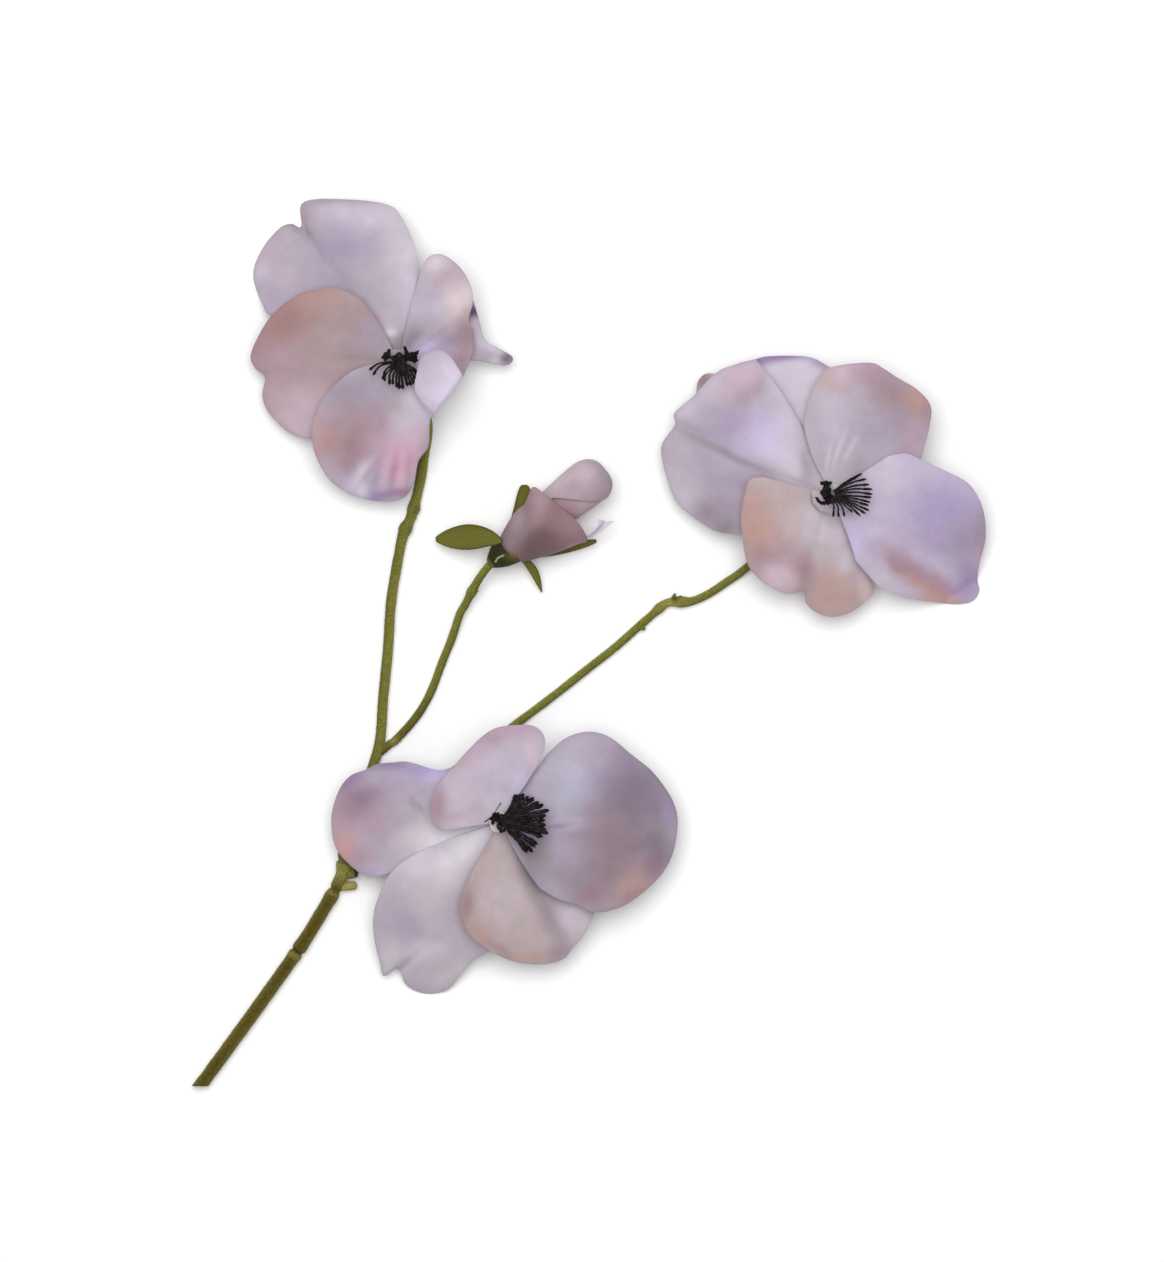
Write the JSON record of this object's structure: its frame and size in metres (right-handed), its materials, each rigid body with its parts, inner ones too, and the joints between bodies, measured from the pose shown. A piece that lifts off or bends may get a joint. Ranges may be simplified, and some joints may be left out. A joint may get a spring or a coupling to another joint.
{
  "type": "artificial pansy spray",
  "caption": "Cut artificial pansy spray with open five-petalled blooms and a furled bud on one forked stem, made to lie face up on a surface.",
  "frame": {"origin": "on the surface it lies on, under the centre of the bounding box", "axes": "+Z up, the way the blooms face; +Y from the cut stem towards the bloom at the far end; +X to the right seen from above with +Y up"},
  "size_m": [0.1977, 0.2214, 0.0238],
  "materials": {
    "petal_fabric": "satin weave, airbrushed",
    "sepal_fabric": "woven, matte",
    "stem_flock": "flocked",
    "cup_green": "flocked",
    "throat_fabric": "satin",
    "stamen_black": "satin"
  },
  "bodies": {
    "root": {"bud_branch": "stem_flock", "bud_cup": "cup_green", "bud_heart": "petal_fabric", "bud_petal_back": "petal_fabric", "bud_petal_inner": "petal_fabric", "bud_petal_outer": "petal_fabric", "bud_sepal_left": "sepal_fabric", "bud_sepal_lower": "sepal_fabric", "bud_sepal_right": "sepal_fabric", "bud_sepal_upper": "sepal_fabric", "left_bloom_centre": "throat_fabric", "left_bloom_cup": "cup_green", "left_bloom_petal_back": "petal_fabric", "left_bloom_petal_bottom": "petal_fabric", "left_bloom_petal_left": "petal_fabric", "left_bloom_petal_right": "petal_fabric", "left_bloom_petal_top": "petal_fabric", "left_bloom_sepals": "sepal_fabric", "left_bloom_stamens": "stamen_black", "left_branch": "stem_flock", "low_bloom_centre": "throat_fabric", "low_bloom_cup": "cup_green", "low_bloom_petal_bottom": "petal_fabric", "low_bloom_petal_left": "petal_fabric", "low_bloom_petal_lower_left": "petal_fabric", "low_bloom_petal_right": "petal_fabric", "low_bloom_petal_top": "petal_fabric", "low_bloom_sepals": "sepal_fabric", "low_bloom_stamens": "stamen_black", "low_branch": "stem_flock", "main_stem": "stem_flock", "right_bloom_centre": "throat_fabric", "right_bloom_cup": "cup_green", "right_bloom_petal_back": "petal_fabric", "right_bloom_petal_bottom": "petal_fabric", "right_bloom_petal_left": "petal_fabric", "right_bloom_petal_right": "petal_fabric", "right_bloom_petal_top": "petal_fabric", "right_bloom_sepals": "sepal_fabric", "right_bloom_stamens": "stamen_black", "right_branch": "stem_flock"}
  },
  "joints": []
}
